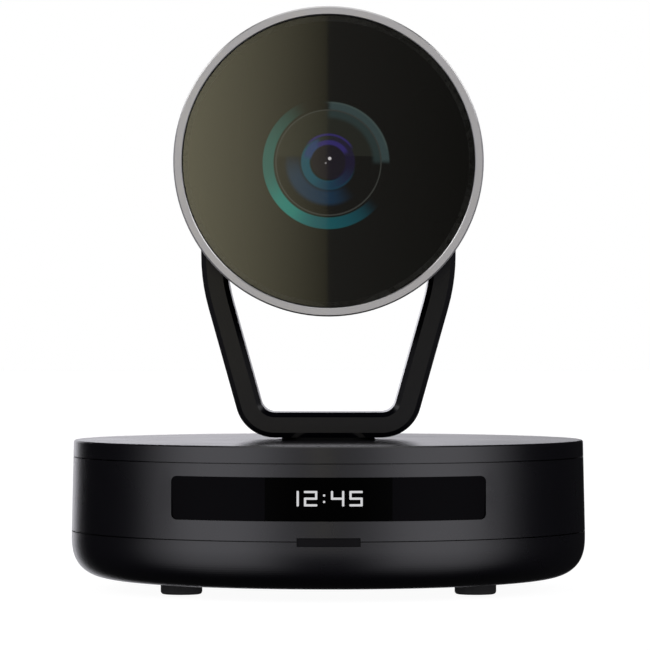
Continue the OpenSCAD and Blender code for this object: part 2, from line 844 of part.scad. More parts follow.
// The bar's outline with the cable channel and the cover's recess open at the back.
function channel_outline() =
    let (
        t = bar_t / 2, d = bar_d / 2, c = bar_chamfer,
        w = (cover_w + drop_fit) / 2, in = channel_w / 2,
        ledge = d - yoke_cover_t, floor = d - yoke_cover_t - channel_d
    )
    [[-t + c, -d], [t - c, -d], [t, -d + c], [t, d - c],
     [t - c, d], [w, d], [w, ledge], [in, ledge], [in, floor],
     [-in, floor], [-in, ledge], [-w, ledge], [-w, d],
     [-t + c, d], [-t, d - c], [-t, -d + c]];
channel_caps = [
    [0, 1, 2, 8, 9, 15], [2, 3, 8], [3, 6, 7, 8], [3, 4, 5, 6],
    [15, 9, 14], [14, 9, 10, 11], [14, 11, 12, 13]
];

module arm_end() {
    r = bar_d / 2;
    t = bar_t / 2;
    translate([arm_x, 0, pivot_z]) rotate([0, 90, 0]) intersection() {
        rotate_extrude() polygon([
            [0, -t], [r - bar_chamfer, -t], [r, -t + bar_chamfer],
            [r, t - bar_chamfer], [r - bar_chamfer, t], [0, t]
        ]);
        translate([-2 * r, -r, -bar_t]) cube([2 * r, 2 * r, 2 * bar_t]);
    }
}

module yoke_frame() {
    color("#0b0b0c") difference() {
        union() {
            sweep(whole_line(channel_end), channel_outline(), channel_caps);
            for (m = [0, 1]) mirror([m, 0, 0]) {
                translate([arm_x, 0, channel_end]) linear_extrude(pivot_z - channel_end)
                    polygon(bar_outline());
                arm_end();
            }
        }
        for (m = [0, 1]) mirror([m, 0, 0]) {
            translate([arm_x - channel_w / 2 + 0.2, -pivot_r + 1, channel_end - 1])
                cube([channel_w - 0.4, 2 * pivot_r - 2, pivot_z - channel_end + 1]);
            translate([arm_in - 1, 0, pivot_z]) rotate([0, 90, 0])
                cylinder(r = pivot_r, h = bar_t + 1);
            translate([arm_out - cap_t - flange_t, 0, pivot_z]) rotate([0, 90, 0])
                cylinder(r = flange_r + drop_fit, h = bar_t);
            translate([arm_out - cap_t, 0, pivot_z]) rotate([0, 90, 0])
                cylinder(r = cap_r + drop_fit, h = bar_t);
        }
        cylinder(r = pan_bore_r - 1.5, h = bar_mid_z);
    }
}

module yoke_rear_cover() {
    color("#1b1b1d") sweep(
        whole_line(channel_end),
        rectangle(-cover_w / 2, cover_w / 2, bar_d / 2 - yoke_cover_t, bar_d / 2),
        one_cap
    );
}

// The flat cable in the left arm's channel, from the pan axis up to the hollow left pivot.
module yoke_cable() {
    w = 4.6;
    t = 0.8;
    color("#1c2c52") {
        sweep(concat(mirrored(half_line(pivot_z)), [[-t / 2, bar_mid_z, 0]]),
            rectangle(-t / 2, t / 2, -w / 2, w / 2), one_cap);
        translate([-t / 2, -w / 2, bearing_z - 6]) cube([t, w, bar_mid_z + t / 2 - bearing_z + 6]);
        translate([-arm_x - t / 2, -w / 2, pivot_z - t / 2])
            cube([arm_x - head_in_x + 8, w, t]);
    }
}

module tilt_pivot(bore) {
    tip = tilt_gear_x - clip_t - 0.4;
    difference() {
        union() {
            translate([0, 0, tip]) cylinder(r = pivot_r, h = arm_out - cap_t - tip);
            translate([0, 0, arm_out - cap_t - flange_t]) cylinder(r = flange_r, h = flange_t);
            translate([0, 0, tilt_gear_x - clip_t]) cylinder(r = pivot_r + 1.4, h = clip_t);
        }
        if (bore > 0) {
            translate([0, 0, tip - 1]) cylinder(r = bore, h = arm_x + channel_w / 2 - tip + 1);
            translate([0, -bore, arm_x - channel_w / 2]) cube([10, 2 * bore, channel_w]);
        }
    }
}

module tilt_pivot_right() {
    color("#b9bcc0") on_tilt_axis() tilt_pivot(0);
}

module tilt_pivot_left() {
    color("#b9bcc0") mirror([1, 0, 0]) on_tilt_axis() tilt_pivot(pivot_r - 1.8);
}

module tilt_gear() {
    color("#e4e1d6") translate([tilt_gear_x, 0, 0]) on_tilt_axis() difference() {
        linear_extrude(tilt_gear_t) gear_outline(tilt_gear_teeth);
        translate([0, 0, -1]) cylinder(r = pivot_r, h = 10);
        for (k = [0 : 5]) rotate(60 * k) translate([14, 0, -1]) cylinder(r = 4, h = 10);
    }
}

module arm_cap_right() {
    color("#18181a") translate([arm_out - cap_t, 0, 0]) on_tilt_axis()
        chamfered_disc(cap_r, cap_t + 0.2, 0.4);
}

module arm_cap_left() {
    mirror([1, 0, 0]) arm_cap_right();
}

// ------------------------------------------------------------------- head

// Radius of the head's round body at a distance w in front of the tilt axis.
function head_r(w) =
    let (back = min(1, max(0, (-w + split_y) / (back_d + split_y))))
    shell_r * pow(1 - pow(back, dome_n), 1 / dome_n);

dome_steps = 48;
function dome_points(inset) =
    [for (i = [0 : dome_steps])
        let (
            w = split_y - (back_d + split_y) * sin(90 * i / dome_steps),
            k = -w / back_d
        )
        [max(0, head_r(w) - inset), w + inset * max(0, k)]];

// The head's round body as a lathe, lens forwards, between the flange and the back.
module head_body(inset) {
    rotate_extrude() polygon(concat(
        [[0, front_d - ring_d - flange_d + inset], [shell_r - inset, front_d - ring_d - flange_d + inset]],
        dome_points(inset),
        [[0, -back_d + inset]]
    ));
}

module slab(half, w0, w1) {
    translate([-half, -ring_r - 5, w0]) cube([2 * half, 2 * ring_r + 10, w1 - w0]);
}

// The room between the arms, turned about the tilt axis, so that the head clears them at any tilt.
module between_arms(inset) {
    x_a = flat_x - inset;
    x_b = side_b_x - inset;
    x_end = side_end_x - inset;
    rotate([0, 90, 0]) rotate_extrude() polygon([
        [0, -x_a], [side_a, -x_a], [side_b, -x_b], [side_end, -x_end],
        [side_end, x_end], [side_b, x_b], [side_a, x_a], [0, x_a]
    ]);
}

module head_ring() {
    r_in = glass_r + drop_fit;
    back = front_d - ring_d;
    seat = front_d - glass_sink - glass_t;
    color("#b3b1b1") optic() rotate_extrude() polygon([
        [r_in, front_d - 0.2], [r_in + 0.2, front_d], [ring_r - 0.4, front_d],
        [ring_r, front_d - 0.4], [ring_r, back], [r_in - 1.8, back],
        [r_in - 1.8, seat], [r_in, seat]
    ]);
}

module front_glass() {
    color([0.05, 0.05, 0.04, 0.6]) optic() translate([0, 0, front_d - glass_sink - glass_t])
        chamfered_disc(glass_r, glass_t, 0.3);
}

// The holes for the two bushes, with room inside the walls for their flanges.
module bush_holes() {
    outer = pivot_r + run_fit + bush_t;
    for (m = [-1, 1]) rotate([0, m * 90, 0]) {
        translate([0, 0, 10]) cylinder(r = outer, h = 40);
        translate([0, 0, 10]) cylinder(r = outer + 1.6, h = head_in_x - 10);
    }
}

// The lip inside the split runs over the top and under the bottom, clear of the tilt drive.
module head_front_shell() {
    back = front_d - ring_d;
    rim_r = ring_r - 0.5;
    lip_w = -split_y - 2.5;
    lip_r = shell_r - head_wall;
    color("#141416") optic() difference() {
        union() {
            translate([0, 0, back - flange_d]) cylinder(r = rim_r, h = flange_d - head_seam);
            intersection() {
                head_body(0);
                between_arms(0);
                slab(flat_x + 1, -split_y, front_d);
            }
            intersection() {
                translate([0, 0, lip_w]) cylinder(r = lip_r - 0.1, h = 4.5);
                between_arms(head_wall + 0.1);
            }
        }
        intersection() {
            cylinder(r = lip_r - 1.3, h = 60);
            between_arms(head_wall);
        }
        intersection() {
            translate([0, 0, lip_w + 4.5]) cylinder(r = lip_r, h = 60);
            between_arms(head_wall);
        }
        intersection() {
            cylinder(r = lip_r, h = 60);
            rotate([0, 90, 0]) cylinder(r = drive_reach, h = 2 * flat_x, center = true);
            between_arms(head_wall);
        }
        bush_holes();
    }
}

module head_rear_shell() {
    color("#141416") optic() difference() {
        intersection() {
            head_body(0);
            between_arms(0);
            slab(flat_x + 1, -back_d - 1, -split_y - head_seam);
        }
        intersection() {
            head_body(head_wall);
            between_arms(head_wall);
            slab(flat_x + 1, -back_d - 1, -split_y + 1);
        }
        bush_holes();
    }
}

module tilt_bush() {
    outer = pivot_r + run_fit + bush_t;
    difference() {
        union() {
            translate([0, 0, head_in_x - bush_flange_t])
                cylinder(r = outer, h = head_wall + bush_flange_t + 0.2);
            translate([0, 0, head_in_x - bush_flange_t]) cylinder(r = outer + 1.4, h = bush_flange_t);
        }
        cylinder(r = pivot_r + run_fit, h = arm_out);
    }
}

module tilt_bush_right() {
    color("#d9d6cb") on_tilt_axis() tilt_bush();
}

module tilt_bush_left() {
    color("#d9d6cb") mirror([1, 0, 0]) on_tilt_axis() tilt_bush();
}

module tilt_motor() {
    face = tilt_gear_x - 0.9;
    color("#a9acb0") translate([0, 0, -tilt_centre]) on_tilt_axis() difference() {
        union() {
            translate([0, 0, face - tilt_motor_l]) cylinder(r = tilt_motor_r, h = tilt_motor_l - 1);
            translate([0, 0, face - 1 - eps]) cylinder(r = tilt_motor_r - 0.8, h = 1 + eps);
        }
        translate([0, 0, face - tilt_motor_l + 2]) cylinder(r = tilt_shaft_r + run_fit, h = 40);
    }
}

module tilt_pinion() {
    start = tilt_gear_x - 0.9 - tilt_motor_l + 2.3;
    color("#c9a24b") translate([0, 0, -tilt_centre]) on_tilt_axis() {
        translate([0, 0, tilt_gear_x]) linear_extrude(tilt_gear_t)
            rotate(180 + 180 / tilt_pinion_teeth) gear_outline(tilt_pinion_teeth);
        translate([0, 0, start]) cylinder(r = tilt_shaft_r, h = tilt_gear_x + tilt_gear_t - start);
    }
}

// ------------------------------------------------------------------- lens

module front_baffle() {
    color("#0a0a0a") optic() intersection() {
        translate([0, 0, -baffle_y]) tube(shell_r - head_wall - drop_fit, nose_r + drop_fit, baffle_t);
        between_arms(head_wall + drop_fit);
    }
}

module lens_barrel() {
    seat = lens_r + drop_fit;
    color("#0e0e10") optic() difference() {
        union() {
            rotate_extrude() polygon([
                [barrel_in, -barrel_back], [barrel_r, -barrel_back], [barrel_r, -baffle_y - 3],
                [nose_r, -baffle_y - 3], [nose_r, -baffle_y + baffle_t],
                [seat + 0.6, nose_front], [seat, nose_front], [seat, nose_front - 3.5],
                [seat - 1.4, nose_front - 3.5], [barrel_in, nose_front - 9]
            ]);
            translate([0, 0, -barrel_back - 1.5]) tube(barrel_r, 7, 1.5 + eps);
            for (s = [-1, 1]) translate([s * rod_at, 0, -barrel_back]) cylinder(r = rod_r, h = 36);
        }
    }
}

module front_lens() {
    edge = nose_front - 3.5;
    sag = lens_dome_r - sqrt(lens_dome_r * lens_dome_r - lens_r * lens_r);
    color([0.3, 0.4, 0.5, 0.4]) optic() intersection() {
        translate([0, 0, edge]) cylinder(r = lens_r, h = 20);
        translate([0, 0, nose_front - 0.3 + sag - lens_dome_r]) sphere(r = lens_dome_r);
    }
}

// A lens in its sliding carriage, which runs on the two guide rods.
module lens_group(r, length, dome) {
    difference() {
        cylinder(r = carriage_r, h = length);
        translate([0, 0, -1]) cylinder(r = r, h = length + 2);
        for (s = [-1, 1]) translate([s * rod_at, 0, -1]) cylinder(r = rod_r + run_fit, h = length + 2);
    }
    intersection() {
        translate([0, 0, 0.5]) cylinder(r = r + 0.2, h = length - 0.4);
        translate([0, 0, length - dome]) sphere(r = dome);
    }
}

module zoom_group() {
    color("#14141a") optic() translate([0, 0, -zoom_y - 2]) lens_group(zoom_r, 5, 13);
}

module focus_group() {
    color("#14141a") optic() translate([0, 0, -focus_y - 2]) lens_group(zoom_r * 0.8, 4, 11);
}

module sensor_board() {
    color("#0d3b24") optic() translate([0, 0, -barrel_back - 1.5 - board_t])
        linear_extrude(board_t) round_rect(34, 34, 2);
    color("#1b1d26") optic() translate([-4, -3, -barrel_back - 1.5 - eps]) cube([8, 6, 1]);
}

// ------------------------------------------------------------------ nodes

base_lower_shell();
base_middle_shell();
base_top_cover();
display_window();
oled_panel();
display_board();
ir_window();
ir_receiver();
io_panel();
foot(-foot_x, -foot_y);  // foot_front_left
foot(foot_x, -foot_y);  // foot_front_right
foot(-foot_x, foot_y);  // foot_rear_left
foot(foot_x, foot_y);  // foot_rear_right
tripod_insert();
main_board();
heatsink();
dc_jack();
usb_socket();
hdmi_socket();
lan_socket();
base_screws();
frame_screws();
cover_screws();
board_screws();
pan_frame();
pan_motor();
pan_bearing_outer();
pan_bush();
pan_home_sensor();
pan_motor_shaft();
pan_pinion();
pan_bearing_balls();
turntable();
pan_shaft();
pan_bearing_inner();
pan_gear();
pan_retainer();
yoke_frame();
yoke_rear_cover();
yoke_cable();
tilt_pivot_left();
tilt_pivot_right();
tilt_gear();
arm_cap_left();
arm_cap_right();
head_ring();
front_glass();
head_front_shell();
head_rear_shell();
tilt_bush_left();
tilt_bush_right();
tilt_motor();
front_baffle();
lens_barrel();
front_lens();
sensor_board();
tilt_pinion();
zoom_group();
focus_group();
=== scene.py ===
# %% [markdown]
# A conference camera, dressed
#
# The working parts of this camera come in as a fixed frame of CAD pieces. This script
# gives them their looks: it paints every piece, adds the lit digits of the clock, and
# sets the camera, the room and the lights. Lengths are in metres, unless a comment says
# millimetres. +Z is up, the lens looks along -Y.

import math

import bpy
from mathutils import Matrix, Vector


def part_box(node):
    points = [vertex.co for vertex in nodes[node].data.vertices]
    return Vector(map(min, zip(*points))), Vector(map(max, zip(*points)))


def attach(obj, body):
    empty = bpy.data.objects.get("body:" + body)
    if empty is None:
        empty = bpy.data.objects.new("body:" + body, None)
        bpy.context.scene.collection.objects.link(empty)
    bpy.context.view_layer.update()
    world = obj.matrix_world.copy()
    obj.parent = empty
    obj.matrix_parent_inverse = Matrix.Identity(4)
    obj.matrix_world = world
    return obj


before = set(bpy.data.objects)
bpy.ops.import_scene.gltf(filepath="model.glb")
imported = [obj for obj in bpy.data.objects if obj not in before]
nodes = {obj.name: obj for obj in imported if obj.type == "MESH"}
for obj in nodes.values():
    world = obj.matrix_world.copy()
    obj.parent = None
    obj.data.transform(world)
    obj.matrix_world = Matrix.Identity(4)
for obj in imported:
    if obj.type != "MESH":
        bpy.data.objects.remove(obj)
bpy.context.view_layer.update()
MM = 0.001
print(len(nodes), "CAD pieces loaded")

# %% [markdown]
# The height of the lens
#
# The head's ring is centred on the tilt axis, so the middle of its box gives the height
# of the lens. The rings painted on the lens are drawn round this height.

# %% The height of the lens
ring_low, ring_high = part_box("head_ring")
PIVOT_Z = (ring_low[2] + ring_high[2]) / 2
print("lens axis at", round(PIVOT_Z, 4), "m")

# %% [markdown]
# Shader maths as arithmetic
#
# A node tree is easier to read as a formula. Num wraps one socket of a node tree and
# overloads the operators, so a + b adds a Math node. Finish wraps a whole material and
# adds every other kind of node through one method, node().

# %% Shader helpers
class Num:
    def __init__(self, tree, socket):
        self.tree, self.socket = tree, socket

    def math(self, operation, *others):
        n = self.tree.nodes.new("ShaderNodeMath")
        n.operation = operation
        for i, v in enumerate((self, *others)):
            feed(self.tree, v, n.inputs[i])
        return Num(self.tree, n.outputs[0])

    def __add__(self, o):
        return self.math("ADD", o)

    def __sub__(self, o):
        return self.math("SUBTRACT", o)

    def __mul__(self, o):
        return self.math("MULTIPLY", o)

    def __truediv__(self, o):
        return self.math("DIVIDE", o)

    def __pow__(self, o):
        return self.math("POWER", o)

    def __lt__(self, o):
        return self.math("LESS_THAN", o)

    def __gt__(self, o):
        return self.math("GREATER_THAN", o)

    def step(self, low, high):
        n = self.tree.nodes.new("ShaderNodeMapRange")
        n.interpolation_type = "SMOOTHSTEP"
        feed(self.tree, self, n.inputs["Value"])
        feed(self.tree, low, n.inputs["From Min"])
        feed(self.tree, high, n.inputs["From Max"])
        return Num(self.tree, n.outputs[0])


def feed(tree, value, socket):
    if isinstance(value, Num):
        tree.links.new(value.socket, socket)
    else:
        socket.default_value = value


class Finish:
    def __init__(self, name, color, **fixed):
        self.mat = bpy.data.materials.new(name)
        self.mat.use_nodes = True
        self.tree = self.mat.node_tree
        self.shader = self.tree.nodes["Principled BSDF"]
        self.shader.inputs["Base Color"].default_value = (*color, 1)
        for key, value in fixed.items():
            self.shader.inputs[key.replace("_", " ")].default_value = value

    def node(self, kind, out=0, inputs=None, **settings):
        n = self.tree.nodes.new("ShaderNode" + kind)
        for key, value in settings.items():
            setattr(n, key, value)
        for key, value in (inputs or {}).items():
            feed(self.tree, value, n.inputs[key])
        return Num(self.tree, n.outputs[out])

    def place(self):
        return self.node("TexCoord", out="Object")

    def xyz(self):
        n = self.tree.nodes.new("ShaderNodeSeparateXYZ")
        feed(self.tree, self.place(), n.inputs[0])
        return [Num(self.tree, n.outputs[i]) for i in range(3)]

    def noise(self, scale, detail=3.0, stretch=None):
        where = self.place()
        if stretch:
            where = self.node("Mapping", inputs={"Vector": where, "Scale": stretch})
        return self.node(
            "TexNoise", inputs={"Vector": where, "Scale": scale, "Detail": detail}
        )

    def mix(self, factor, a, b):
        n = self.tree.nodes.new("ShaderNodeMix")
        n.data_type = "RGBA"
        feed(self.tree, factor, n.inputs[0])
        for value, i in ((a, 6), (b, 7)):
            feed(self.tree, value if isinstance(value, Num) else (*value, 1), n.inputs[i])
        return Num(self.tree, n.outputs[2])

    def drive(self, name, value):
        feed(self.tree, value, self.shader.inputs[name])

    def bump(self, height, distance, strength=1.0):
        self.drive("Normal", self.node("Bump", inputs={
            "Height": height, "Distance": distance, "Strength": strength}))
        return self


def paint_node(name, mat):
    nodes[name].data.materials.clear()
    nodes[name].data.materials.append(mat)


print("helpers ready")

# %% [markdown]
# Plastics and rubber
#
# The shells are black plastic with a fine grain. The grain is a small bump, and a
# slower noise makes the gloss wander slightly, as on a moulded part that is handled.

# %% Plastics
SHELL_COLOR = (0.0035, 0.0033, 0.0048)


def plastic(name, color, rough, wander=0.05, grain=1800, depth=0.000012, gloss=0.5):
    f = Finish(name, color, Roughness=rough, IOR=1.5, Specular_IOR_Level=gloss)
    f.drive("Roughness", f.noise(35, 2) * (2 * wander) + (rough - wander))
    f.bump(f.noise(grain, 2), depth)
    return f.mat


plastic("shell_black", SHELL_COLOR, 0.27)
plastic("cover_black", SHELL_COLOR, 0.26, wander=0.03, grain=1500, depth=0.000004)
plastic("head_black", SHELL_COLOR, 0.27)
plastic("panel_black", (0.008, 0.008, 0.0085), 0.5)
plastic("hub_black", (0.002, 0.002, 0.002), 0.6, gloss=0.03)
plastic("moulded_black", (0.01, 0.01, 0.01), 0.45)
plastic("receiver_black", (0.0045, 0.0042, 0.005), 0.3, gloss=0.08)
plastic("foot_rubber", (0.012, 0.012, 0.012), 0.75, grain=900, depth=0.00003)
plastic("bush_white", (0.62, 0.6, 0.53), 0.4)
plastic("yoke_black", (0.0022, 0.0022, 0.0034), 0.22, wander=0.03, grain=1400,
        depth=0.000004, gloss=0.25)
plastic("baffle_black", (0.003, 0.003, 0.003), 0.8)
plastic("carriage_black", (0.008, 0.008, 0.01), 0.4)
print("plastics made")

# %% [markdown]
# The display window
#
# The window is a dark sheet with hardly any shine. Its middle, in front of the display,
# is black, and the strips on both sides are a touch lighter.

# %% Display window
DISPLAY_HALF_W = 0.0178
window = Finish("window_black", (0.0, 0.0, 0.0), Roughness=0.22, Specular_IOR_Level=0.015)
off_centre = window.xyz()[0].math("ABSOLUTE")
strips = window.mix(off_centre < DISPLAY_HALF_W, (0.0022, 0.002, 0.0026), (0, 0, 0))
window.drive("Base Color", strips)
print("window made")

# %% [markdown]
# Metals
#
# Turned metal has fine marks that run round its axis. A noise squeezed along that axis
# gives them, and drives the roughness and a faint bump.

# %% Metals
def metal(name, color, rough, stretch=(1, 1, 30), depth=0.000004):
    f = Finish(name, color, Roughness=rough, Metallic=1.0)
    marks = f.noise(260, 4, stretch)
    f.drive("Roughness", marks * 0.16 + (rough - 0.08))
    f.bump(marks, depth)
    return f.mat


metal("ring_metal", (0.52, 0.515, 0.515), 0.34, (1, 30, 1), 0.000002)
metal("steel", (0.55, 0.56, 0.58), 0.3)
metal("bearing", (0.7, 0.7, 0.72), 0.14)
metal("brass", (0.72, 0.5, 0.2), 0.25)
metal("aluminium", (0.6, 0.6, 0.62), 0.35)
metal("black_steel", (0.05, 0.05, 0.052), 0.35)
metal("tin", (0.66, 0.66, 0.67), 0.22, (1, 20, 1))
print("metals made")

# %% [markdown]
# Painting the CAD pieces
#
# One table says which material goes on which pieces. The names on the right are the
# frame's own sub-parts, so the table also reads as a list of what the camera is made of.

# %% Paint the frame
paint = {
    "shell_black": "base_lower_shell base_middle_shell",
    "cover_black": "base_top_cover",
    "window_black": "display_window oled_panel",
    "receiver_black": "ir_window",
    "panel_black": "io_panel",
    "hub_black": "turntable",
    "moulded_black": "ir_receiver dc_jack pan_home_sensor yoke_rear_cover "
                     "arm_cap_left arm_cap_right",
    "foot_rubber": "foot_front_left foot_front_right foot_rear_left foot_rear_right",
    "head_black": "head_front_shell head_rear_shell",
    "bush_white": "pan_bush tilt_bush_left tilt_bush_right pan_gear tilt_gear",
    "yoke_black": "yoke_frame",
    "ring_metal": "head_ring",
    "steel": "frame_screws cover_screws board_screws pan_frame pan_motor pan_shaft "
             "tilt_pivot_left tilt_pivot_right tilt_motor",
    "bearing": "pan_bearing_outer pan_bearing_inner pan_bearing_balls pan_motor_shaft",
    "brass": "tripod_insert pan_pinion tilt_pinion",
    "aluminium": "heatsink",
    "black_steel": "base_screws pan_retainer",
    "tin": "usb_socket hdmi_socket lan_socket",
    "baffle_black": "front_baffle",
    "carriage_black": "zoom_group focus_group",
}
for name, where in paint.items():
    for node in where.split():
        paint_node(node, bpy.data.materials[name])
print(len(paint), "materials laid on", sum(len(v.split()) for v in paint.values()), "pieces")

# %% [markdown]
# The front glass
#
# The glass is smoked: most of what is behind it is lost, and what is in front of it is
# mirrored faintly. A Mix Shader joins a clear shader, for what shows through, with a
# polished black one, for the reflection.

# %% Front glass
SMOKE = 0.62
glass = Finish("front_glass", (0.0, 0.0, 0.0), Roughness=0.02, IOR=1.62)
clear = glass.node("BsdfTransparent", inputs={"Color": (0.72, 0.73, 0.71, 1)})
mixer = glass.tree.nodes.new("ShaderNodeMixShader")
mixer.inputs[0].default_value = SMOKE
glass.tree.links.new(clear.socket, mixer.inputs[1])
glass.tree.links.new(glass.shader.outputs[0], mixer.inputs[2])
glass.tree.links.new(mixer.outputs[0], glass.tree.nodes["Material Output"].inputs[0])
paint_node("front_glass", glass.mat)
print("front glass made")


# %% [markdown]
# Painted reflections: rings and arcs
#
# A coated lens throws back coloured rings and arcs of the room. These reflections are painted
# here as glowing colour in the lens's own plane, in millimetres: each is a band of radius times
# a wedge of angle, laid over the ones before it. Angles run from the right, anticlockwise.

# %% Painted reflections: rings and arcs
# How strongly the painted lens reflections glow.
PAINTED_REFLECTION_GLOW = 2.2


class PaintedReflectionRings:
    def __init__(self, finish, centre_z):
        x, y, z = finish.xyz()
        self.f = finish
        self.x, self.y, self.z = x * 1000, y * 1000, (z - centre_z) * 1000
        self.r = (self.x * self.x + self.z * self.z).math("SQRT")
        self.color = None

    def band(self, r0, r1, soft=0.25):
        outer = self.r.step(r1 - soft, r1 + soft) * -1 + 1
        return self.r.step(r0 - soft, r0 + soft) * outer

    def wedge(self, angle, half, soft=12):
        a = math.radians(angle)
        along = (self.x * math.cos(a) + self.z * math.sin(a)) / (self.r + 0.001)
        low = math.cos(math.radians(min(180, half + soft)))
        return along.step(low, math.cos(math.radians(max(0, half - soft))))

    def lay(self, mask, color):
        self.color = self.f.mix(mask, self.color or (0, 0, 0), color)

    # The painted reflections are laid in as emission, so they glow.
    def light(self):
        self.f.drive("Emission Color", self.color)
        self.f.shader.inputs["Emission Strength"].default_value = PAINTED_REFLECTION_GLOW
        return self.f.mat


print("rings ready")


# %% [markdown]
# The lens's nose
#
# The tapered nose round the lens carries the widest painted reflections: a teal arc at the lower
# left and a grey-blue one at the upper right, both glowing. Only its front is painted.

# %% Lens nose
NOSE_FRONT_Y = -26.2


def nose_finish():
    f = Finish("lens_nose", (0.006, 0.006, 0.0065), Roughness=0.4)
    g = PaintedReflectionRings(f, PIVOT_Z)
    front = g.y < NOSE_FRONT_Y
    # Painted reflections on the nose's front: teal, blue and grey arcs that glow.
    band = g.band(15.9, 19.0) * front
    g.lay(band * g.wedge(214, 68, 34), (0.02, 0.9, 0.78))
    g.lay(band * g.wedge(276, 20, 26) * 0.75, (0.0, 0.24, 0.4))
    g.lay(band * g.wedge(165, 32, 26) * 0.6, (0.03, 0.13, 0.13))
    g.lay(g.band(15.3, 17.6) * front * g.wedge(45, 44, 3), (0.15, 0.25, 0.27))
    g.lay(g.band(17.2, 17.7) * front * g.wedge(52, 38, 6) * 0.5, (0.3, 0.42, 0.4))
    return g.light()


paint_node("lens_barrel", nose_finish())
print("nose painted")


# %% [markdown]
# The front lens
#
# The lens's coated elements throw back the room as rings of painted reflection that glow: a wide
# blue arc, a teal ring, two violet arcs, the dark pupil with two painted highlights, and a thin
# pale rim.

# %% Front lens
def lens_finish():
    f = Finish("lens_painted_reflections", (0.002, 0.002, 0.002), Roughness=0.12, Specular_IOR_Level=0.05)
    g = PaintedReflectionRings(f, PIVOT_Z)
    inside = g.band(-1, 15.1, 0.15)
    # Painted reflection: the part of the lens above the axis is painted a little lighter.
    upper = g.z.step(1.6, 1.9)
    g.lay(inside * upper * 0.9, (0.055, 0.06, 0.045))
    g.lay(g.band(12.9, 17, 0.8) * g.wedge(45, 45, 4) * 0.8, (0.09, 0.17, 0.18))
    g.lay(g.band(8.2, 12.2, 0.8) * g.wedge(236, 50, 26) * (upper * -1 + 1), (0.005, 0.11, 0.28))
    g.lay(g.band(5.4, 7.9, 0.3) * g.wedge(225, 95, 40), (0.0, 0.32, 0.5))
    g.lay(g.band(5.6, 8.0, 0.3) * g.wedge(285, 30, 30) * 0.7, (0.01, 0.12, 0.3))
    g.lay(g.band(-1, 7.6, 0.2) * g.wedge(5, 70, 40) * 0.7, (0.035, 0.015, 0.16))
    g.lay(g.band(5.0, 7.3, 0.3) * g.wedge(142, 24, 10), (0.08, 0.2, 0.62))
    g.lay(g.band(4.9, 6.3, 0.3) * g.wedge(75, 45, 10), (0.11, 0.07, 0.6))
    g.lay(g.band(7.6, 8.2, 0.15) * g.wedge(85, 48, 12), (0.11, 0.07, 0.55))
    g.lay(g.band(-1, 4.9, 0.3), (0.02, 0.011, 0.042))
    # Two painted highlights in the pupil: small glowing dots.
    for x, z, r, level in ((0.35, 1.0, 0.62, 3.0), (-0.8, -0.3, 0.36, 1.2)):
        dx, dz = g.x - x, g.z - z
        painted_glint = (dx * dx + dz * dz).math("SQRT").step(r * 0.5, r) * -1 + 1
        g.lay(painted_glint, (level, level * 0.93, level))
    g.lay(g.band(14.95, 15.4, 0.12), (0.16, 0.17, 0.16))
    return g.light()


paint_node("front_lens", lens_finish())
print("front lens painted")


# %% [markdown]
# Circuit boards and the flat cable
#
# The boards are green lacquer with copper pads, which a Voronoi pattern scatters. The
# cable's stripes are a sine wave across its width.

# %% Circuit boards and cable
def board_finish():
    copper, lacquer = (0.3, 0.22, 0.08), (0.008, 0.055, 0.028)
    f = Finish("circuit_board", lacquer, Roughness=0.35, Coat_Weight=0.4)
    cells = f.node("TexVoronoi", inputs={"Vector": f.place(), "Scale": 420})
    f.drive("Base Color", f.mix(cells.step(0.2, 0.28) * 0.5, copper, lacquer))
    return f.mat


def cable_finish():
    film, track = (0.02, 0.04, 0.12), (0.045, 0.07, 0.17)
    f = Finish("flat_cable", film, Roughness=0.4)
    stripes = (f.xyz()[1] * 9000).math("SINE")
    f.drive("Base Color", f.mix(stripes.step(-0.2, 0.2), film, track))
    return f.mat


board = board_finish()
for name in ("main_board", "display_board", "sensor_board"):
    paint_node(name, board)
paint_node("yoke_cable", cable_finish())
print("boards and cable painted")

# %% [markdown]
# The display's digits
#
# The display shows a clock. Each digit is built from thin bars, as on any digital clock.
# A bar is placed round the curved window, so that it follows it. These sizes are in
# millimetres. In SEGMENTS, each bar has its place across and up the digit, and its way.

# %% Digit bars
DIGIT_W, DIGIT_H, STROKE = 3.7, 4.3, 0.6
GAP = 1.45
COLON_W = 0.9
COLON_RISE = 0.9
BAR_T = 0.04
SEGMENTS = {
    "a": (0.5, 1, "across"), "b": (1, 0.75, "up"), "c": (1, 0.25, "up"),
    "d": (0.5, 0, "across"), "e": (0, 0.25, "up"), "f": (0, 0.75, "up"),
    "g": (0.5, 0.5, "across"),
}
DIGITS = {"1": "bc", "2": "abged", "4": "fgbc", "5": "afgcd"}
DIGIT_Z = 29.3
GLASS_R = 75.19


def bar(x, z, w, h):
    """A thin rounded bar on the curved window; x and z are its middle, in millimetres."""
    turn = x / GLASS_R
    bpy.ops.mesh.primitive_cube_add(
        size=1, location=(GLASS_R * math.sin(turn) * MM, -GLASS_R * math.cos(turn) * MM, z * MM),
        rotation=(0, 0, turn), scale=(w * MM, BAR_T * MM, h * MM))
    bpy.ops.object.transform_apply(location=False, rotation=False, scale=True)
    bpy.ops.object.mode_set(mode="EDIT")
    bpy.ops.mesh.select_all(action="SELECT")
    bpy.ops.mesh.bevel(offset=min(w, h) * 0.3 * MM, segments=3, affect="EDGES")
    bpy.ops.object.mode_set(mode="OBJECT")
    return bpy.context.object


def join(objects, name):
    bpy.ops.object.select_all(action="DESELECT")
    for o in objects:
        o.select_set(True)
    bpy.context.view_layer.objects.active = objects[0]
    bpy.ops.object.join()
    bpy.ops.object.transform_apply()
    made = bpy.context.object
    made.name = name
    return made


print(len(SEGMENTS), "bars in a whole digit")


# %% [markdown]
# The clock
#
# The digits are laid from left to right. The 1 has bars at its right only, so it starts
# further left. All the bars are joined into one piece that rides on the base.

# %% Clock
CLOCK_LEFT = -9.8
ONE_SHIFT = DIGIT_W - STROKE - COLON_W

